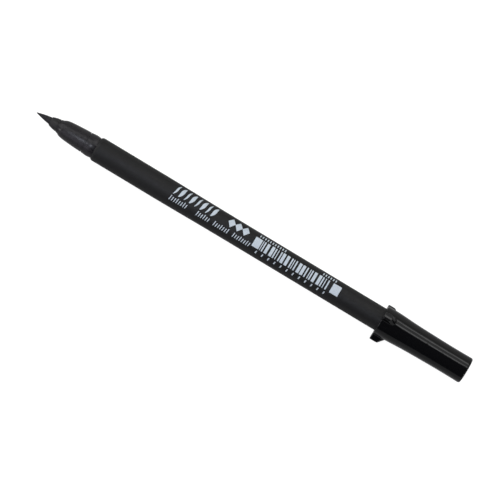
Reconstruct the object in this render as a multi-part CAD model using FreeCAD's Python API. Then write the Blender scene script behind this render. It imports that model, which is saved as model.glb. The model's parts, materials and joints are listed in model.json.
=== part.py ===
# Calligraphy marker with a pointed brush nib, lying flat with its cap posted on the barrel's rear end.
#
# Millimetres. X runs along the pen's axis, from the nib at -X to the cap's closed end at +X, and Z is up.
# The origin is under the middle of the pen, on the surface that it lies on.
# A station is a distance along the axis from the nib's point, or from the cap's mouth on the cap's pieces.
import FreeCAD, Part
import math
import os

V = FreeCAD.Vector

# ---- driving dimensions ----
# The whole pen
cap_mouth_station = 120.7
cap_length = 30.0
cap_mouth_radius = 4.71
overall_length = cap_mouth_station + cap_length
axis_height = cap_mouth_radius          # the cap's mouth is what touches the surface
fit_gap = 0.02                          # radial gap of a push fit or a sliding fit
part_line = 0.06                        # gap between two pieces that meet end to end
rooting = 0.2                           # how far a rib or a key runs into the wall that carries it
# A profile below is a row of (station, radius) points that an outline passes through. Slopes are its
# rise in radius per length where it starts and ends.

# Brush nib: a flexible point that bends about its root, and the stem that feeds it with ink
nib_root_station = 4.9
nib_root_radius = 1.16
nib_tip_radius = 0.1
nib_profile = [(1.8, 0.57), (3.3, 0.91)]
nib_slopes = (0.62, 0.08)
bend_gap = 0.05
stem_radius = 1.15
stem_end_station = 36.5
stem_taper_length = 1.5
stem_end_radius = 0.5

# Nib holder: the tapered nose that grips the stem
holder_front_station = 4.95
holder_front_radius = 1.42
holder_edge_radius = 0.12
holder_bore_radius = 1.21
holder_nose_radius = 2.01
holder_nose_profile = [(6.3, 1.78)]
holder_nose_slopes = (0.32, 0.16)
holder_body_radius = 1.75
holder_flange_station = 24.0
holder_flange_length = 2.0
holder_flange_radius = 2.55
vent_count = 4
vent_width = 0.6
vent_depth = 0.25
vent_front_station = 8.7

# Front section, which the fingers hold, and its tenon inside the barrel
section_front_station = 7.78
section_front_radius = 2.07
section_shoulder_station = 17.25
section_shoulder_radius = 3.38
section_flare_end = (9.5, 2.74)         # the front flares as far as here, then swells gently
section_flare_profile = [(8.35, 2.2), (8.9, 2.5)]
section_profile = [(11.6, 3.04), (14.2, 3.23)]
section_slopes = (0.15, 0.27, 0.03)     # at its front, where the flare ends and at its shoulder
nose_groove = 0.16                      # left open between the holder's nose and the section
tenon_radius = 3.1
tenon_end_station = 31.0
tenon_bore_radius = 2.6

# Collar ring, trapped between the section's shoulder and the barrel's front face
ring_groove = 0.2                       # left open between the section's shoulder and the ring
ring_edge_radius = 3.39
ring_crown_radius = 3.54
ring_slopes = (0.0, -0.16)
ring_edge_round = 0.12

# Barrel
barrel_front_station = 20.86
barrel_end_station = 131.0
barrel_front_radius = 3.89
barrel_tail_radius = 3.72
barrel_grip_end_station = 42.0          # the barrel is a true cylinder from its front as far as this
barrel_ease_end_station = 90.0
barrel_ease_profile = [(57, 3.785)]
barrel_front_lead = 0.85                # the front edge eases in over this length
barrel_front_drop = 0.42
barrel_front_slope = 1.2
barrel_end_round = 0.15
barrel_bore_radius = tenon_radius + fit_gap
rib_count = 6
rib_width = 0.6
rib_inner_radius = 2.9
rib_front_station = 60.0
rib_end_station = 122.0

# Ink reservoir and the film that wraps it
reservoir_front_station = 31.6
reservoir_end_station = 122.0
reservoir_radius = 2.75
wrap_inner_radius = 2.77
wrap_outer_radius = 2.86

# Tail plug
plug_front_station = 125.0
plug_end_station = 131.7
plug_wall = 0.8
plug_floor = 1.2
plug_edge_round = 0.3

# Cap shell, measured from the cap's mouth
cap_mouth_bore_radius = 3.93
cap_mouth_bore_depth = 5.2
cap_mouth_round = 0.28                  # on the mouth's outer rim and the lugs' outer edges
cap_mouth_lead_in = 0.2
cap_bore_radius = 3.82
cap_stop_depth = 11.1
cap_inner_bore_radius = 3.45
cap_bore_end = 28.4
cap_end_radius = 4.21
cap_end_round = 0.6
cap_waist_profile = [(4.5, 4.67), (9.3, 4.42), (14.1, 4.28), (23, 4.15)]    # depths and radii
cap_slopes = (0, 0.02)
grip_rib_count = 6
grip_rib_width = 0.8
grip_rib_front = 5.9

# Lugs round the cap's mouth that stop the pen rolling
lug_count = 3
lug_tip_radius = 6.65                   # their outer ends are rounded to this radius about the axis
lug_drawn_radius = 7.0                  # their tapering sides are drawn out to here, and cut back
lug_root_radius = 4.4
lug_root_width = 2.6
lug_drawn_width = 2.02
lug_root_length = 4.5
lug_drawn_length = 2.42
lug_foot_round = 0.6

# Sealing liner pressed into the cap
liner_front = 14.8
liner_radius = cap_inner_bore_radius - fit_gap
liner_bore_radius = 2.98
liner_floor = 0.7
liner_lead_in = 0.25


# ---- drawing and turning ----
def spot(station, radius):
    """The point at a station along the pen's axis and a radius straight up from it."""
    return V(station - overall_length / 2, 0, axis_height + radius)


def straight(*points):
    """Straight edges from each point, a station and a radius, to the next."""
    ends = [spot(*point) for point in points]
    return [Part.LineSegment(a, b).toShape() for a, b in zip(ends, ends[1:])]


def rounded(start, centre, end):
    """A circular edge from start to end, about a centre."""
    middle = (spot(*start) + spot(*end)) * 0.5 - spot(*centre)
    reach = (spot(*start) - spot(*centre)).Length
    through = spot(*centre) + middle.normalize() * reach
    return [Part.Arc(spot(*start), through, spot(*end)).toShape()]


def smooth(start_slope, end_slope, *points):
    """A smooth edge through points, leaving the first and reaching the last at the given slopes."""
    curve = Part.BSplineCurve()
    curve.interpolate(
        Points=[spot(*point) for point in points],
        InitialTangent=V(1, 0, start_slope),
        FinalTangent=V(1, 0, end_slope),
    )
    return [curve.toShape()]


def turned(outline):
    """The solid that a closed outline sweeps as it turns once about the pen's axis."""
    face = Part.Face(Part.Wire(Part.__sortEdges__(outline)))
    return solid_of(face.revolve(spot(0, 0), V(1, 0, 0), 360))


def solid_of(shape):
    """The single solid that a shape holds, facing outwards."""
    solid = shape.Solids[0]
    if solid.Volume < 0:
        solid.reverse()
    return solid


def turned_about_axis(shape, degrees):
    """A copy of a shape turned about the pen's axis."""
    copy = shape.copy()
    copy.rotate(spot(0, 0), V(1, 0, 0), degrees)
    return copy


def all_round(shape, count):
    """Copies of a shape, evenly spaced about the pen's axis."""
    return [turned_about_axis(shape, 360 * i / count) for i in range(count)]


def key(front, end, inner_radius, outer_radius, width):
    """A straight bar along the pen, from one radius to another, above the axis."""
    corner = spot(front, inner_radius) - V(0, width / 2, 0)
    return Part.makeBox(end - front, width, outer_radius - inner_radius, corner)


def on_cap(depth):
    """The station of a depth from the cap's mouth."""
    return cap_mouth_station + depth


# ---- the nib ----
def brush_point():
    root = nib_root_station
    tip = nib_tip_radius
    outline = rounded((0, 0), (tip, 0), (tip, tip))
    outline += smooth(*nib_slopes, (tip, tip), *nib_profile, (root, nib_root_radius))
    outline += rounded((root, nib_root_radius), (root, 0), (root + nib_root_radius, 0))
    outline += straight((root + nib_root_radius, 0), (0, 0))
    return turned(outline)


def nib_stem():
    root = nib_root_station
    socket_radius = nib_root_radius + bend_gap
    lip = root + math.sqrt(socket_radius**2 - stem_radius**2)
    taper = stem_end_station - stem_taper_length
    outline = rounded((root + socket_radius, 0), (root, 0), (lip, stem_radius))
    outline += straight(
        (lip, stem_radius),
        (taper, stem_radius),
        (stem_end_station, stem_end_radius),
        (stem_end_station, 0),
        (root + socket_radius, 0),
    )
    return turned(outline)


def nib_holder():
    front = holder_front_station
    edge = holder_edge_radius
    flange_end = holder_flange_station + holder_flange_length
    face_rim = (front, holder_front_radius - edge)
    nose_start = (front + edge, holder_front_radius)
    nose_back = section_front_station - nose_groove
    nose_end = (nose_back, holder_nose_radius)
    outline = rounded(face_rim, (front + edge, holder_front_radius - edge), nose_start)
    outline += smooth(*holder_nose_slopes, nose_start, *holder_nose_profile, nose_end)
    outline += straight(
        nose_end,
        (nose_back, holder_body_radius),
        (holder_flange_station, holder_body_radius),
        (holder_flange_station, holder_flange_radius),
        (flange_end, holder_flange_radius),
        (flange_end, holder_bore_radius),
        (front, holder_bore_radius),
        face_rim,
    )
    vent_floor = holder_body_radius - vent_depth
    vent = key(vent_front_station, flange_end + 1, vent_floor, holder_flange_radius + 1, vent_width)
    return solid_of(turned(outline).cut(all_round(vent, vent_count)))


# ---- the front section, the collar and the barrel ----
def front_section():
    front = section_front_station
    bore = holder_body_radius + fit_gap
    shoulder = (section_shoulder_station, section_shoulder_radius)
    nose = (front, section_front_radius)
    front_slope, flare_slope, shoulder_slope = section_slopes
    outline = smooth(front_slope, flare_slope, nose, *section_flare_profile, section_flare_end)
    outline += smooth(flare_slope, shoulder_slope, section_flare_end, *section_profile, shoulder)
    outline += straight(
        shoulder,
        (section_shoulder_station, tenon_radius),
        (tenon_end_station, tenon_radius),
        (tenon_end_station, tenon_bore_radius),
        (holder_flange_station - fit_gap, tenon_bore_radius),
        (holder_flange_station - fit_gap, bore),
        (front, bore),
        nose,
    )
    return turned(outline)


def collar_ring():
    front = section_shoulder_station + ring_groove
    end = barrel_front_station - part_line
    edge = ring_edge_round
    outer = ring_edge_radius
    bore = tenon_radius + fit_gap
    crown_start = (front + edge, outer)
    crown_end = (end - edge, outer)
    outline = rounded((front, outer - edge), (front + edge, outer - edge), crown_start)
    outline += smooth(*ring_slopes, crown_start, ((front + end) / 2, ring_crown_radius), crown_end)
    outline += rounded(crown_end, (end - edge, outer - edge), (end, outer - edge))
    outline += straight((end, outer - edge), (end, bore), (front, bore), (front, outer - edge))
    return turned(outline)


def barrel():
    front = barrel_front_station
    end = barrel_end_station
    back = barrel_end_round
    bore = barrel_bore_radius
    front_rim = (front, barrel_front_radius - barrel_front_drop)
    grip_start = (front + barrel_front_lead, barrel_front_radius)
    grip_end = (barrel_grip_end_station, barrel_front_radius)
    ease_end = (barrel_ease_end_station, barrel_tail_radius)
    tail_end = (end - back, barrel_tail_radius)
    end_rim = (end, barrel_tail_radius - back)
    outline = smooth(barrel_front_slope, 0, front_rim, grip_start)
    outline += straight(grip_start, grip_end)
    outline += smooth(0, 0, grip_end, *barrel_ease_profile, ease_end)
    outline += straight(ease_end, tail_end)
    outline += rounded(tail_end, (end - back, barrel_tail_radius - back), end_rim)
    outline += straight(end_rim, (end, bore), (front, bore), front_rim)
    rib = key(rib_front_station, rib_end_station, rib_inner_radius, bore + rooting, rib_width)
    return solid_of(turned(outline).fuse(all_round(rib, rib_count)).removeSplitter())


def tail_plug():
    front = plug_front_station
    end = plug_end_station
    body = barrel_bore_radius - fit_gap
    flange = barrel_end_station + part_line
    outer = barrel_tail_radius - fit_gap
    edge = plug_edge_round
    outline = straight(
        (front, body - plug_wall),
        (front, body),
        (flange, body),
        (flange, outer),
        (end - edge, outer),
    )
    outline += rounded((end - edge, outer), (end - edge, outer - edge), (end, outer - edge))
    outline += straight(
        (end, outer - edge),
        (end, 0),
        (end - plug_floor, 0),
        (end - plug_floor, body - plug_wall),
        (front, body - plug_wall),
    )
    return turned(outline)


# ---- the ink ----
def ink_reservoir():
    hole = stem_radius + fit_gap
    taper = stem_end_station - stem_taper_length + fit_gap
    hole_end = stem_end_station + fit_gap
    outline = straight(
        (reservoir_front_station, hole),
        (reservoir_front_station, reservoir_radius),
        (reservoir_end_station, reservoir_radius),
        (reservoir_end_station, 0),
        (hole_end, 0),
        (hole_end, stem_end_radius + fit_gap),
        (taper, hole),
        (reservoir_front_station, hole),
    )
    return turned(outline)


def reservoir_wrap():
    outline = straight(
        (reservoir_front_station, wrap_inner_radius),
        (reservoir_front_station, wrap_outer_radius),
        (reservoir_end_station, wrap_outer_radius),
        (reservoir_end_station, wrap_inner_radius),
        (reservoir_front_station, wrap_inner_radius),
    )
    return turned(outline)


# ---- the cap ----
def cap_body():
    """The cap's tube: wide at the mouth, easing in to a slim waist and out a little at its closed end."""
    mouth = on_cap(0)
    end = on_cap(cap_length)
    edge = cap_end_round
    inner_start = (mouth, cap_mouth_bore_radius + cap_mouth_lead_in)
    outer_start = (mouth, cap_mouth_radius)
    outer_end = (end - edge, cap_end_radius)
    outline = straight(inner_start, outer_start)
    waist = [(on_cap(depth), radius) for depth, radius in cap_waist_profile]
    outline += smooth(*cap_slopes, outer_start, *waist, outer_end)
    outline += rounded(outer_end, (end - edge, cap_end_radius - edge), (end, cap_end_radius - edge))
    outline += straight(
        (end, cap_end_radius - edge),
        (end, 0),
        (on_cap(cap_bore_end), 0),
        (on_cap(cap_bore_end), cap_inner_bore_radius),
        (on_cap(cap_stop_depth), cap_inner_bore_radius),
        (on_cap(cap_stop_depth), cap_bore_radius),
        (on_cap(cap_mouth_bore_depth), cap_bore_radius),
        (on_cap(cap_mouth_bore_depth), cap_mouth_bore_radius),
        (mouth + cap_mouth_lead_in, cap_mouth_bore_radius),
        inner_start,
    )
    return turned(outline)


def lug_outline(radius, width, length):
    """A D seen from outside the cap: straight across the mouth, and round towards the closed end."""
    half = width / 2
    height = axis_height + radius
    mouth = spot(on_cap(0), 0).x
    bend = mouth + length - half
    near_left = V(mouth, half, height)
    near_right = V(mouth, -half, height)
    far_left = V(bend, half, height)
    far_right = V(bend, -half, height)
    edges = [
        Part.LineSegment(near_right, near_left).toShape(),
        Part.LineSegment(near_left, far_left).toShape(),
        Part.Arc(far_left, V(mouth + length, 0, height), far_right).toShape(),
        Part.LineSegment(far_right, near_right).toShape(),
    ]
    return Part.Wire(edges)


def lug():
    """One lug, straight up from the axis, that narrows towards its crowned outer end."""
    root = lug_outline(lug_root_radius, lug_root_width, lug_root_length)
    drawn = lug_outline(lug_drawn_radius, lug_drawn_width, lug_drawn_length)
    sides = Part.makeLoft([root, drawn], True, True)
    start = spot(on_cap(-lug_root_length), 0)
    crown = Part.makeCylinder(lug_tip_radius, 2 * lug_root_length, start, V(1, 0, 0))
    return sides.common(turned_about_axis(crown, 180))      # turned, so that its seam is not on the lug


def edge_place(edge):
    """How far the middle of an edge is from the cap's mouth and from the axis."""
    middle = edge.valueAt((edge.FirstParameter + edge.LastParameter) / 2)
    return middle.x - spot(on_cap(0), 0).x, math.hypot(middle.y, middle.z - axis_height)


def with_soft_lugs(tube):
    """The cap's tube with its lugs, whose feet are blended in, and with its outer edges rounded."""
    shell = solid_of(tube.fuse(all_round(lug(), lug_count)).removeSplitter())
    feet = []
    for edge in shell.Edges:
        depth, radius = edge_place(edge)
        if depth > cap_mouth_round and abs(radius - cap_mouth_radius) < lug_foot_round / 4:
            feet.append(edge)
    shell = shell.makeFillet(lug_foot_round, feet)
    outer_edges = []
    for edge in shell.Edges:
        depth, radius = edge_place(edge)
        in_mouth_plane = edge.BoundBox.XMax - spot(on_cap(0), 0).x < 0.0001
        on_rim = in_mouth_plane and radius > cap_mouth_radius - lug_foot_round
        on_lug_end = radius > lug_tip_radius - lug_foot_round
        if on_rim or on_lug_end:
            outer_edges.append(edge)
    return shell.makeFillet(cap_mouth_round, outer_edges)


def cap_shell():
    rib = key(
        on_cap(grip_rib_front),
        on_cap(cap_stop_depth + rooting),
        barrel_tail_radius + fit_gap,
        cap_bore_radius + rooting,
        grip_rib_width,
    )
    ribs = all_round(rib, grip_rib_count)
    return solid_of(with_soft_lugs(cap_body()).fuse(ribs).removeSplitter())


def cap_liner():
    front = on_cap(liner_front)
    end = on_cap(cap_bore_end) - part_line
    outline = straight(
        (front, liner_bore_radius + liner_lead_in),
        (front, liner_radius),
        (end, liner_radius),
        (end, 0),
        (end - liner_floor, 0),
        (end - liner_floor, liner_bore_radius),
        (front + liner_lead_in, liner_bore_radius),
        (front, liner_bore_radius + liner_lead_in),
    )
    return turned(outline)


# ---- one file for each piece ----
pieces = [
    brush_point,
    nib_stem,
    nib_holder,
    front_section,
    collar_ring,
    barrel,
    tail_plug,
    ink_reservoir,
    reservoir_wrap,
    cap_shell,
    cap_liner,
]

os.makedirs("parts", exist_ok=True)
for make in pieces:
    shape = make()
    shape.exportStep("parts/" + make.__name__ + ".step")
    print(make.__name__, "valid" if shape.isValid() else "NOT VALID", round(shape.Volume, 2), "mm3")
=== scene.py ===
import json
import math

import bpy
from mathutils import Matrix, Vector, noise
from mathutils.bvhtree import BVHTree


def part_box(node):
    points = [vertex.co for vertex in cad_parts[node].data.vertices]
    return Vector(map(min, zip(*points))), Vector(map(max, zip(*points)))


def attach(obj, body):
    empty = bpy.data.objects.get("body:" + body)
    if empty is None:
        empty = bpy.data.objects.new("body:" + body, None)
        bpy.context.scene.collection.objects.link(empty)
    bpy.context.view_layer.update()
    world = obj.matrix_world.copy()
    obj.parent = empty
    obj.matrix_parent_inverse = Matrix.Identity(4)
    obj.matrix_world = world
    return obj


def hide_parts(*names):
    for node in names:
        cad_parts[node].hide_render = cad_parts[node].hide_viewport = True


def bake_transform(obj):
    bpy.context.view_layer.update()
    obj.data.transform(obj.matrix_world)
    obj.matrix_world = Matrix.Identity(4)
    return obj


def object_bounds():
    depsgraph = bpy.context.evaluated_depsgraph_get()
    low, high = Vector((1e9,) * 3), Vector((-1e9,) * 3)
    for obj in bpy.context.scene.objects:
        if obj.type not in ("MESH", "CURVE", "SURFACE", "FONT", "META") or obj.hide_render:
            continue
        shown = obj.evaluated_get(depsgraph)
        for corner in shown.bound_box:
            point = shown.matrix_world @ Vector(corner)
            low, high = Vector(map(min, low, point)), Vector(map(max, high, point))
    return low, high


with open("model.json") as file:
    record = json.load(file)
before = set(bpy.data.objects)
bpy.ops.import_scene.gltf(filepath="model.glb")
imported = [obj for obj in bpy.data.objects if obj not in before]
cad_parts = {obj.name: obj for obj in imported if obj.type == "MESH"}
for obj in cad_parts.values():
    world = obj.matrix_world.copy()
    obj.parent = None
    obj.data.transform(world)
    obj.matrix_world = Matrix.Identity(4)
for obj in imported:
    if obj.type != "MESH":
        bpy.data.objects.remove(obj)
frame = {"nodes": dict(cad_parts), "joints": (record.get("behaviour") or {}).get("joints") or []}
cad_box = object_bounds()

# ---- where things are: metres, in the frame's own axes ----
MM = 0.001
barrel_low, barrel_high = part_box("barrel")
point_low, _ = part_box("brush_point")
stem_low, stem_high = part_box("nib_stem")
AXIS_Z = (barrel_low.z + barrel_high.z) / 2
NIB_TIP_X = point_low.x
NIB_ROOT_X = next(j for j in frame["joints"] if j["name"] == "brush_bend")["pos_m"][0]
FLOOR_Z = cad_box[0].z


# ---- materials ----
FIELD_LOW = 0.3                 # nearly all of a noise field lies between these two values
FIELD_HIGH = 0.7


def add_node(material, kind, **inputs):
    """A node of the material, with some of its input values set."""
    node = material.node_tree.nodes.new(kind)
    for name, value in inputs.items():
        node.inputs[name].default_value = value
    return node


def join(material, output, target):
    material.node_tree.links.new(output, target)


def plastic(name, colour, roughness, **sockets):
    """A Principled material whose uniform values sit on the shader's own sockets."""
    material = bpy.data.materials.new(name)
    material.use_nodes = True
    shader = material.node_tree.nodes["Principled BSDF"]
    shader.inputs["Base Color"].default_value = (*colour, 1)
    shader.inputs["Roughness"].default_value = roughness
    for socket, value in sockets.items():
        shader.inputs[socket.replace("_", " ")].default_value = value
    return material


def shader_of(material):
    return material.node_tree.nodes["Principled BSDF"]


def grain(material, size, detail=3, stretch=1):
    """A noise field whose features are about size across, and stretch times as long along the pen."""
    place = add_node(material, "ShaderNodeTexCoord")
    mapping = add_node(material, "ShaderNodeMapping", Scale=(1 / (size * stretch), 1 / size, 1 / size))
    field = add_node(material, "ShaderNodeTexNoise", Scale=1, Detail=detail, Roughness=0.6)
    join(material, place.outputs["Object"], mapping.inputs["Vector"])
    join(material, mapping.outputs["Vector"], field.inputs["Vector"])
    return field.outputs["Fac"]


def ramp(material, field, low, high, start=FIELD_LOW, end=FIELD_HIGH):
    """The field, spread so that start becomes low and end becomes high."""
    spread = add_node(material, "ShaderNodeMapRange")
    spread.inputs["From Min"].default_value = start
    spread.inputs["From Max"].default_value = end
    spread.inputs["To Min"].default_value = low
    spread.inputs["To Max"].default_value = high
    join(material, field, spread.inputs["Value"])
    return spread.outputs["Result"]


def mottle(material, field, dark, light):
    """Colour that drifts between dark and light with the field."""
    colours = add_node(material, "ShaderNodeValToRGB")
    colours.color_ramp.elements[0].position = FIELD_LOW
    colours.color_ramp.elements[0].color = (*dark, 1)
    colours.color_ramp.elements[1].position = FIELD_HIGH
    colours.color_ramp.elements[1].color = (*light, 1)
    join(material, field, colours.inputs["Fac"])
    join(material, colours.outputs["Color"], shader_of(material).inputs["Base Color"])


def polish(material, field, low, high):
    """Roughness that drifts between low and high with the field."""
    join(material, ramp(material, field, low, high), shader_of(material).inputs["Roughness"])


def relief(material, field, depth):
    """Bumps as high as depth, that follow the field."""
    bump = add_node(material, "ShaderNodeBump", Strength=1, Distance=depth)
    join(material, field, bump.inputs["Height"])
    join(material, bump.outputs["Normal"], shader_of(material).inputs["Normal"])


def barrel_plastic():
    """Matte black moulding with a very fine spark-eroded grain, a little polished in places by handling."""
    material = plastic("barrel_matte_black", (0.009, 0.009, 0.009), 0.5, Specular_IOR_Level=0.23)
    mottle(material, grain(material, 0.9 * MM), (0.0075, 0.0075, 0.0075), (0.0105, 0.0105, 0.0105))
    polish(material, grain(material, 5 * MM, stretch=3), 0.44, 0.58)
    relief(material, grain(material, 0.16 * MM, detail=2), 0.006 * MM)
    return material


def section_plastic():
    """Semi-gloss black moulding, dulled unevenly by handling, whose surface isn't quite even."""
    material = plastic("section_semi_gloss_black", (0.01, 0.0095, 0.01), 0.3, Specular_IOR_Level=0.3)
    mottle(material, grain(material, 0.8 * MM), (0.0105, 0.0098, 0.011), (0.017, 0.0155, 0.017))
    polish(material, grain(material, 0.45 * MM, detail=5, stretch=2), 0.22, 0.4)
    relief(material, grain(material, 0.9 * MM, stretch=2), 0.012 * MM)
    return material


def holder_plastic():
    """Satin dark grey moulding with lengthwise stains of ink."""
    material = plastic("holder_satin_grey", (0.021, 0.021, 0.021), 0.45, Specular_IOR_Level=0.2)
    mottle(material, grain(material, 0.6 * MM, stretch=3), (0.014, 0.014, 0.014), (0.028, 0.027, 0.027))
    polish(material, grain(material, 0.5 * MM, detail=4), 0.36, 0.56)
    relief(material, grain(material, 0.12 * MM, detail=2), 0.005 * MM)
    return material


def cap_plastic():
    """High-gloss black moulding with hairline scratches along it and a trace of smudging."""
    material = plastic("cap_gloss_black", (0.0035, 0.0035, 0.0039), 0.07, Specular_IOR_Level=0.25)
    polish(material, grain(material, 2.5 * MM, detail=4, stretch=2), 0.05, 0.09)
    relief(material, grain(material, 0.14 * MM, detail=2, stretch=40), 0.0012 * MM)
    return material


def nib_fibre():
    """Bonded fibre soaked in black ink: lengthwise strands, with painted shade that darkens the grooves
    between them.
    """
    material = plastic("nib_inked_fibre", (0.02, 0.02, 0.022), 0.7, Specular_IOR_Level=0.3)
    strands = grain(material, 0.09 * MM, detail=3, stretch=14)
    # Painted shade: the colour follows the strands' relief, so it is darker down in the grooves.
    mottle(material, strands, (0.004, 0.004, 0.0045), (0.021, 0.02, 0.023))
    polish(material, grain(material, 0.3 * MM, detail=3, stretch=6), 0.45, 0.85)
    relief(material, strands, 0.045 * MM)
    return material


def print_ink():
    """Pad-printed ink, white with a trace of blue, thin enough to show the grain under it."""
    material = plastic("print_white", (0.74, 0.82, 0.9), 0.5)
    mottle(material, grain(material, 0.25 * MM), (0.46, 0.52, 0.57), (0.6, 0.665, 0.72))
    relief(material, grain(material, 0.16 * MM, detail=2), 0.006 * MM)
    return material


def liner_plastic():
    """Natural unpigmented moulding, waxy and slightly see-through."""
    material = plastic("liner_natural_white", (0.7, 0.7, 0.67), 0.4, Subsurface_Weight=0.3)
    shader_of(material).inputs["Subsurface Scale"].default_value = 0.6 * MM
    mottle(material, grain(material, 1.5 * MM), (0.66, 0.66, 0.62), (0.74, 0.74, 0.71))
    relief(material, grain(material, 0.2 * MM), 0.004 * MM)
    return material


def wick_fibre():
    """The reservoir's ink-soaked bundle of fibres, with painted shade that darkens the grooves between its
    strands.
    """
    material = plastic("wick_inked_fibre", (0.03, 0.03, 0.035), 0.9)
    strands = grain(material, 0.12 * MM, detail=3, stretch=25)
    # Painted shade: the colour follows the strands' relief, so it is darker down in the grooves.
    mottle(material, strands, (0.015, 0.015, 0.018), (0.06, 0.06, 0.068))
    relief(material, strands, 0.04 * MM)
    return material


def wrap_film():
    """Thin clear film, wrinkled lengthwise."""
    material = plastic("wrap_clear_film", (0.85, 0.86, 0.88), 0.15, Transmission_Weight=0.8, IOR=1.4)
    mottle(material, grain(material, 3 * MM), (0.8, 0.81, 0.84), (0.9, 0.91, 0.92))
    relief(material, grain(material, 0.8 * MM, stretch=8), 0.02 * MM)
    return material


def dress_nodes():
    """Gives every CAD node that no other piece replaces its finished material."""
    barrel_black = barrel_plastic()
    section_black = section_plastic()
    finishes = {
        "nib_holder": holder_plastic(),
        "front_section": section_black,
        "collar_ring": section_black,
        "barrel": barrel_black,
        "tail_plug": barrel_black,
        "ink_reservoir": wick_fibre(),
        "reservoir_wrap": wrap_film(),
        "cap_shell": cap_plastic(),
        "cap_liner": liner_plastic(),
    }
    for node, material in finishes.items():
        for slot in frame["nodes"][node].material_slots:
            slot.material = material


# ---- meshes ----
def mesh_object(name, points, faces, material, smooth=True):
    """A new piece with one material, made of points and faces."""
    mesh = bpy.data.meshes.new(name)
    mesh.from_pydata(points, [], faces)
    mesh.materials.append(material)
    mesh.polygons.foreach_set("use_smooth", [smooth] * len(faces))
    mesh.update()
    piece = bpy.data.objects.new(name, mesh)
    bpy.context.scene.collection.objects.link(piece)
    return piece


def ring_faces(rows, columns):
    """Quads between rows of points, each row closed on itself."""
    faces = []
    for row in range(rows - 1):
        for column in range(columns):
            after = (column + 1) % columns
            low = row * columns
            high = low + columns
            faces.append((low + column, low + after, high + after, high + column))
    return faces


# ---- the nib: one fibre bundle, from its point back to the reservoir ----
NIB_COLUMNS = 128                # points round each ring of the mesh
NIB_POINT_RINGS = 90
NIB_STEM_RINGS = 24
RINGS_BUNCHED = 1.4             # over 1 sets the rings closer together towards the point
OGIVE_POWER = 1.31
NIB_TIP_RADIUS = 0.1 * MM
STRAND_DEPTH = 0.03 * MM
STRAND_FINENESS = 11            # radius of the circle that the strands' noise is read round
STRAND_TWIST = 0.25             # radians that the strands turn by, over the point's length
STRAND_WANDER = 1.6
LOCK_SHARE = 0.3                # the broad locks' fineness, as a share of the strands'
LOCK_WANDER = 2.3
LOCK_WEIGHT = 1.2
LOCK_FIELD = Vector((5, 0, 0))  # keeps the locks' noise apart from the strands'
RELIEF_AT_TIP = 0.15            # share of the strands' depth at the very point
RELIEF_RISE = 1.4
THINNEST_SHARE = 0.5            # no groove goes deeper than this share of the radius
STEM_RADIUS = (stem_high.z - stem_low.z) / 2
STEM_TAPER = 1.5 * MM
STEM_END_SHARE = 0.43


def nib_radius(x):
    """The nib's radius: an ogive as far as its root, a plain stem, and a taper into the reservoir."""
    along = (x - NIB_TIP_X) / (NIB_ROOT_X - NIB_TIP_X)
    into_taper = max(0.0, (x - (stem_high.x - STEM_TAPER)) / STEM_TAPER)
    if along < 1:
        blunt = min(1.0, (x - NIB_TIP_X) / NIB_TIP_RADIUS) ** 0.5
        return blunt * NIB_TIP_RADIUS + (STEM_RADIUS - NIB_TIP_RADIUS) * (1 - (1 - along) ** OGIVE_POWER)
    return STEM_RADIUS * (1 - (1 - STEM_END_SHARE) * into_taper)


def strand_relief(angle, along):
    """Ridges of single fibres, which run lengthwise and wander and merge towards the point."""
    twist = angle + STRAND_TWIST * along
    around = Vector((math.cos(twist), math.sin(twist), 0)) * STRAND_FINENESS
    fine = noise.noise(around + Vector((0, 0, STRAND_WANDER * along)))
    broad = noise.noise(around * LOCK_SHARE + LOCK_FIELD + Vector((0, 0, LOCK_WANDER * along)))
    return fine + LOCK_WEIGHT * broad


def nib_stations():
    """Where the nib's rings of points stand: bunched towards the tip, and even along the stem."""
    point = NIB_ROOT_X - NIB_TIP_X
    stem = stem_high.x - NIB_ROOT_X
    stations = []
    for i in range(1, NIB_POINT_RINGS + 1):
        stations.append(NIB_TIP_X + point * (i / NIB_POINT_RINGS) ** RINGS_BUNCHED)
    for i in range(1, NIB_STEM_RINGS + 1):
        stations.append(NIB_ROOT_X + stem * i / NIB_STEM_RINGS)
    return stations


def nib_ring(x):
    """The points round the nib at x, with its strands in relief."""
    radius = nib_radius(x)
    along = (x - NIB_TIP_X) / (NIB_ROOT_X - NIB_TIP_X)
    depth = STRAND_DEPTH * min(1, RELIEF_AT_TIP + RELIEF_RISE * along)
    ring = []
    for i in range(NIB_COLUMNS):
        angle = 2 * math.pi * i / NIB_COLUMNS
        r = radius + depth * (strand_relief(angle, along) - 1)
        r = max(r, radius * THINNEST_SHARE)
        ring.append((x, r * math.sin(angle), AXIS_Z + r * math.cos(angle)))
    return ring


def brush_nib():
    """The whole nib in one piece, from its point back to the reservoir."""
    stations = nib_stations()
    points = []
    for x in stations:
        points += nib_ring(x)
    faces = ring_faces(len(stations), NIB_COLUMNS)
    tip = len(points)
    points.append((NIB_TIP_X, 0, AXIS_Z))
    back = len(points)
    points.append((stem_high.x, 0, AXIS_Z))
    last = (len(stations) - 1) * NIB_COLUMNS
    for i in range(NIB_COLUMNS):
        after = (i + 1) % NIB_COLUMNS
        faces.append((tip, after, i))
        faces.append((back, last + i, last + after))
    nib = mesh_object("brush_nib", points, faces, nib_fibre())
    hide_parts("brush_point", "nib_stem")
    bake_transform(nib)


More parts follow.
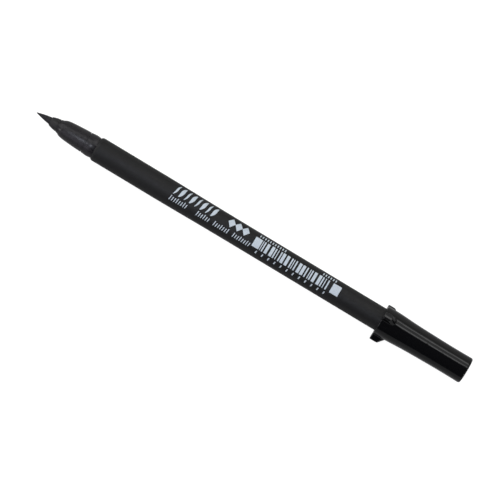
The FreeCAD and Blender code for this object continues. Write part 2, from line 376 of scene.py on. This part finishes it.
# ---- the printed marks, laid on the barrel ----
PRINT_TURN = -17                # degrees that the print is turned from straight up, away from +Y
INK_THICKNESS = 0.014 * MM
INK_ROOT = 0.02 * MM            # how far an ink patch's rim goes below the barrel's surface
RAY_START = 10 * MM             # how far from the axis a ray starts, well outside the barrel
MESH_STEP = 0.5 * MM            # size of an ink patch's faces along the pen
MESH_DEGREES = 4                # and round it
STROKE_SWAY = 0.12 * MM         # how far a stroke's middle line curves to each side
STROKE_TIP = 0.04               # keeps a stroke's ends from closing to nothing
STROKE_FULLNESS = 0.7           # below 1 keeps a stroke wide nearer to its ends
DIAMOND_BLUNTNESS = 0.03        # keeps a diamond's ends from closing to nothing
barrel_surface = BVHTree.FromObject(frame["nodes"]["barrel"], bpy.context.evaluated_depsgraph_get())


def on_barrel(x, degrees, lift):
    """The point of the barrel's surface at x, at an angle round from the print's middle, lifted off it."""
    angle = math.radians(degrees + PRINT_TURN)
    outward = Vector((0, math.sin(angle), math.cos(angle)))
    start = Vector((x, 0, AXIS_Z)) + outward * RAY_START
    place, _, _, _ = barrel_surface.ray_cast(start, -outward)
    return place + outward * lift


class Marks:
    """Thin raised patches of ink that together make one printed piece."""

    def __init__(self):
        self.points = []
        self.faces = []

    def patch(self, place, rows, columns):
        """A patch whose point at (across, along), each 0 to 1, is place(across, along): x and degrees.

        One more row of points all round it stands right under its edge, inside the barrel, as its rim.
        """
        first = len(self.points)
        for i in range(rows + 3):
            for j in range(columns + 3):
                across = min(max((i - 1) / rows, 0), 1)
                along = min(max((j - 1) / columns, 0), 1)
                edge = i in (0, rows + 2) or j in (0, columns + 2)
                x, degrees = place(across, along)
                self.points.append(on_barrel(x, degrees, -INK_ROOT if edge else INK_THICKNESS))
        width = columns + 3
        for i in range(rows + 2):
            for j in range(width - 1):
                corner = first + i * width + j
                self.faces.append((corner, corner + 1, corner + width + 1, corner + width))

    def bar(self, x, width, low, high, lean=0.0):
        """A straight bar round the barrel, from one angle to another, that may lean along the pen."""
        rows = max(1, round(width / MESH_STEP))
        columns = max(2, round((high - low) / MESH_DEGREES))

        def place(across, along):
            return x + width * across + lean * along, low + (high - low) * along

        self.patch(place, rows, columns)

    def stroke(self, x, low, high, lean, weight):
        """A brush stroke: pointed at its ends, full in the middle, and gently curved."""

        def place(across, along):
            part = STROKE_TIP + (1 - 2 * STROKE_TIP) * along
            swell = math.sin(math.pi * part) ** STROKE_FULLNESS
            sway = STROKE_SWAY * math.sin(2 * math.pi * along)
            side = weight * swell * (across - 0.5)
            return x + lean * along + sway + side, low + (high - low) * along

        self.patch(place, rows=4, columns=18)

    def diamond(self, x, middle, half_length, half_height):
        """A broad-nib diamond, the mark that letter heights are counted in."""

        def place(across, along):
            along = 2 * along - 1
            across = 2 * across - 1
            reach = 1 - abs(along) + DIAMOND_BLUNTNESS
            return x + half_length * along, middle + half_height * reach * across

        self.patch(place, rows=16, columns=10)

    def finish(self, name):
        """Makes the printed piece, which moves with the pen."""
        piece = mesh_object(name, self.points, self.faces, print_material, smooth=False)
        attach(piece, "pen")


print_material = print_ink()


# Where each row starts, as a distance from the nib's tip. Heights round the barrel are in degrees.
STROKE_ROW = NIB_TIP_X + 47.8 * MM
STROKE_COUNT = 8
STROKE_PITCH = 1.86 * MM
STROKE_LOW = 4
STROKE_HIGH = 59
STROKE_LEAN = 1.3 * MM
THIN_STROKE = 0.62 * MM
THICK_STROKE = 1.15 * MM

DIAMOND_ROW = NIB_TIP_X + 67.5 * MM
DIAMOND_COUNT = 3
DIAMOND_PITCH = 2.45 * MM
DIAMOND_MIDDLE = 30
DIAMOND_HALF_LENGTH = 1.2 * MM
DIAMOND_HALF_HEIGHT = 24

DASH_ROW = NIB_TIP_X + 47.4 * MM
DASH_GROUPS = ((0, 8), (9.4, 6), (15.3, 7), (22, 8))      # each group's start in mm, and its count
DASH_PITCH = 0.78 * MM
DASH_WIDTH = 0.27 * MM
DASH_LEAN = 0.22 * MM
DASH_LOW = -28
DASH_HIGH = -8
DASH_TALL = -4

BLOCK_START = NIB_TIP_X + 75.9 * MM
BLOCK_END = NIB_TIP_X + 105.8 * MM
BLOCK_LOW = -15
BLOCK_HIGH = 35
BLOCK_FIRST_WIDTH = 2.3 * MM
BLOCK_LAST_WIDTH = 2.8 * MM
BLOCK_FIRST_GAP = 0.3 * MM
BLOCK_LAST_GAP = 1.0 * MM
THINNEST_BAR = 0.25 * MM
NARROWEST_GAP = 0.34 * MM
WIDTH_STEP = 0.17 * MM

LOW_TICK_COUNT = 12
LOW_TICK_OFFSET = 1.9 * MM
LOW_TICK_PITCH = 2.15 * MM
HIGH_TICK_GROUPS = ((0.9, 11), (22.9, 6))                 # each group's start in mm, and its count
HIGH_TICK_PITCH = 0.86 * MM


def print_strokes():
    """A row of slanting practice strokes, thin and thick in turn, with three broad-nib diamonds after it."""
    marks = Marks()
    for i in range(STROKE_COUNT):
        weight = THICK_STROKE if i % 2 else THIN_STROKE
        marks.stroke(STROKE_ROW + STROKE_PITCH * i, STROKE_LOW, STROKE_HIGH, STROKE_LEAN, weight)
    for i in range(DIAMOND_COUNT):
        x = DIAMOND_ROW + DIAMOND_PITCH * i
        marks.diamond(x, DIAMOND_MIDDLE, DIAMOND_HALF_LENGTH, DIAMOND_HALF_HEIGHT)
    marks.finish("print_strokes")


def print_dashes():
    """A finer row below: groups of short strokes, every third of them taller."""
    marks = Marks()
    for start, count in DASH_GROUPS:
        for i in range(count):
            high = DASH_HIGH if i % 3 else DASH_TALL
            marks.bar(DASH_ROW + start * MM + DASH_PITCH * i, DASH_WIDTH, DASH_LOW, high, DASH_LEAN)
    marks.finish("print_dashes")


def print_block():
    """A block of upright bars between two solid ends. Their widths follow a rule and say nothing."""
    marks = Marks()
    marks.bar(BLOCK_START, BLOCK_FIRST_WIDTH, BLOCK_LOW, BLOCK_HIGH)
    marks.bar(BLOCK_END - BLOCK_LAST_WIDTH, BLOCK_LAST_WIDTH, BLOCK_LOW, BLOCK_HIGH)
    x = BLOCK_START + BLOCK_FIRST_WIDTH + BLOCK_FIRST_GAP
    step = 0
    while x < BLOCK_END - BLOCK_LAST_WIDTH - BLOCK_LAST_GAP:
        width = THINNEST_BAR + WIDTH_STEP * (step * step % 5)
        marks.bar(x, width, BLOCK_LOW, BLOCK_HIGH)
        x += width + NARROWEST_GAP + WIDTH_STEP * (step % 3)
        step += 1
    marks.finish("print_block")


def print_ticks():
    """Small ticks under and over the block."""
    marks = Marks()
    for i in range(LOW_TICK_COUNT):
        x = BLOCK_START + LOW_TICK_OFFSET + LOW_TICK_PITCH * i
        marks.bar(x, width=0.36 * MM, low=-39, high=-24, lean=0.15 * MM)
    for start, count in HIGH_TICK_GROUPS:
        for i in range(count):
            x = BLOCK_START + start * MM + HIGH_TICK_PITCH * i
            marks.bar(x, width=0.34 * MM, low=43, high=59, lean=0.1 * MM)
    marks.finish("print_ticks")


# ---- the studio ----
FLOOR_REACH = 4.0
FLOOR_GLOW = 0.93               # as the camera sees the floor
FLOOR_GLOW_IN_MIRRORS = 0.3     # as the pen's own surfaces see it
SECTION_PLACE = (-0.06, 0, 0)   # under the pen's front section
COOL_WHITE = (0.9, 0.95, 1.1)
PALE_BLUE = (0.92, 0.96, 1.08)
PALE_VIOLET = (0.97, 0.94, 1.08)
ROOM_DIM = (0.028, 0.029, 0.034, 1)
ROOM_PALE = (0.62, 0.61, 0.6, 1)
ROOM_SEEN = (0.9, 0.9, 0.9, 1)  # what the camera sees past the floor's edge
ROOM_DIM_UNTIL = 0.55           # in the direction away from the viewer, where 1 is the horizon
ROOM_PALE_FROM = 0.95


def backface_clear(material):
    """Lets the floor be looked through from underneath."""
    surface = material.node_tree.nodes["Material Output"].inputs["Surface"]
    geometry = add_node(material, "ShaderNodeNewGeometry")
    clear = add_node(material, "ShaderNodeBsdfTransparent")
    mix = add_node(material, "ShaderNodeMixShader")
    join(material, geometry.outputs["Backfacing"], mix.inputs["Fac"])
    join(material, shader_of(material).outputs["BSDF"], mix.inputs[1])
    join(material, clear.outputs["BSDF"], mix.inputs[2])
    join(material, mix.outputs["Shader"], surface)


def floor():
    """A wide white floor that glows for the camera, as a light table does."""
    corners = ((-1, -1), (1, -1), (1, 1), (-1, 1))
    points = [(FLOOR_REACH * x, FLOOR_REACH * y, FLOOR_Z) for x, y in corners]
    material = plastic("floor_white", (0.2, 0.2, 0.2), 0.9, Specular_IOR_Level=0.1)
    shader_of(material).inputs["Emission Color"].default_value = (1, 1, 1, 1)
    seen = add_node(material, "ShaderNodeLightPath").outputs["Is Camera Ray"]
    glow = ramp(material, seen, FLOOR_GLOW_IN_MIRRORS, FLOOR_GLOW, start=0, end=1)
    join(material, glow, shader_of(material).inputs["Emission Strength"])
    backface_clear(material)
    ground = mesh_object("floor", points, [(0, 1, 2, 3)], material)


def softbox(name, place, size, radiance, aim=(0, 0, 0), colour=(1, 1, 1)):
    """A rectangular light that faces its aim, with the same radiance whatever its size."""
    data = bpy.data.lights.new(name, "AREA")
    data.shape = "RECTANGLE"
    data.size, data.size_y = size
    data.energy = radiance * math.pi * size[0] * size[1]
    data.color = colour
    light = bpy.data.objects.new(name, data)
    light.location = place
    light.rotation_mode = "QUATERNION"
    light.rotation_quaternion = (Vector(aim) - Vector(place)).to_track_quat("-Z", "Y")
    light.visible_camera = False
    bpy.context.scene.collection.objects.link(light)


def arch(degrees, distance, along=0.0):
    """A place over the pen: degrees up from the viewer's side of the floor, and how far along the pen."""
    angle = math.radians(degrees)
    return Vector((along, -math.cos(angle) * distance, math.sin(angle) * distance))


def lights():
    """Soft light from the sides, and strips over the pen that draw the long glints on its cap."""
    softbox("key_left", (-0.806, 0.156, 0.91), size=(1.2, 1.2), radiance=1.4)
    softbox("key_right", (0.806, 0.156, 0.91), size=(0.7, 0.7), radiance=0.2)
    softbox("rim_left", (-1.0, -0.1, 0.17), size=(1.6, 0.2), radiance=5.0)
    softbox("rim_right", (1.0, -0.1, 0.34), size=(1.6, 0.3), radiance=2.0)
    softbox("strip_high", arch(104, 0.8, along=0.03), size=(0.75, 0.11), radiance=2.7)
    softbox("strip_low", arch(131, 0.8, along=0.17), size=(0.5, 0.1), radiance=2.5)
    softbox("fill_behind", arch(119, 1.0, along=0.17), size=(0.5, 0.82), radiance=1.15)
    softbox("fore_glint", arch(68, 0.85, along=-0.11), size=(0.12, 0.09), radiance=20.0,
            aim=SECTION_PLACE, colour=COOL_WHITE)
    softbox("fore_fill", arch(68, 0.6, along=-0.09), size=(0.12, 0.3), radiance=4.6,
            aim=SECTION_PLACE, colour=PALE_BLUE)
    softbox("fore_low", arch(30, 0.6, along=-0.25), size=(0.34, 0.42), radiance=1.35,
            aim=SECTION_PLACE, colour=PALE_VIOLET)


def studio_air():
    """A pale room: bright low down behind the pen, and dim everywhere else."""
    world = bpy.data.worlds.new("studio")
    bpy.context.scene.world = world
    world.use_nodes = True
    nodes, links = world.node_tree.nodes, world.node_tree.links
    background = nodes["Background"]
    coordinate = nodes.new("ShaderNodeTexCoord")
    split = nodes.new("ShaderNodeSeparateXYZ")
    glow = nodes.new("ShaderNodeValToRGB")
    glow.color_ramp.elements[0].position = ROOM_DIM_UNTIL
    glow.color_ramp.elements[0].color = ROOM_DIM
    glow.color_ramp.elements[1].position = ROOM_PALE_FROM
    glow.color_ramp.elements[1].color = ROOM_PALE
    links.new(coordinate.outputs["Generated"], split.inputs["Vector"])
    links.new(split.outputs["Y"], glow.inputs["Fac"])
    seen = nodes.new("ShaderNodeLightPath")
    pale = nodes.new("ShaderNodeMix")
    pale.data_type = "RGBA"
    pale.inputs["B"].default_value = ROOM_SEEN
    links.new(seen.outputs["Is Camera Ray"], pale.inputs["Factor"])
    links.new(glow.outputs["Color"], pale.inputs["A"])
    links.new(pale.outputs["Result"], background.inputs["Color"])


# ---- the camera ----
CAMERA_ELEVATION = 73
PEN_SLOPE = 31.05               # how far the pen points down towards the picture's right
PICTURE_WIDTH = 150.3 * MM      # what the square picture spans at the pen
PEN_ABOVE_CENTRE = 2.74 * MM
PEN_PAST_CENTRE = 0.5 * MM      # towards its tail
LENS = 250
SENSOR = 36
CLIP_NEAR = 0.01
CLIP_FAR = 20


def camera():
    """A long lens over the pen, tilted a little towards the viewer's side and turned to slope the pen."""
    data = bpy.data.cameras.new("camera")
    data.lens = LENS
    data.sensor_width = SENSOR
    view = bpy.data.objects.new("camera", data)
    bpy.context.scene.collection.objects.link(view)
    bpy.context.scene.camera = view
    distance = PICTURE_WIDTH * LENS / SENSOR
    tilt = Matrix.Rotation(math.radians(90 - CAMERA_ELEVATION), 4, "X")
    roll = Matrix.Rotation(math.radians(PEN_SLOPE), 4, "Z")
    turn = tilt @ roll
    middle = Vector(((cad_box[0].x + cad_box[1].x) / 2 - PEN_PAST_CENTRE, 0, AXIS_Z))
    place = middle + turn @ Vector((0, -PEN_ABOVE_CENTRE, distance))
    view.matrix_world = Matrix.Translation(place) @ turn
    data.clip_start = CLIP_NEAR
    data.clip_end = CLIP_FAR


camera()
dress_nodes()
brush_nib()
print_strokes()
print_dashes()
print_block()
print_ticks()
floor()
lights()
studio_air()
bpy.context.scene.view_settings.view_transform = "Standard"
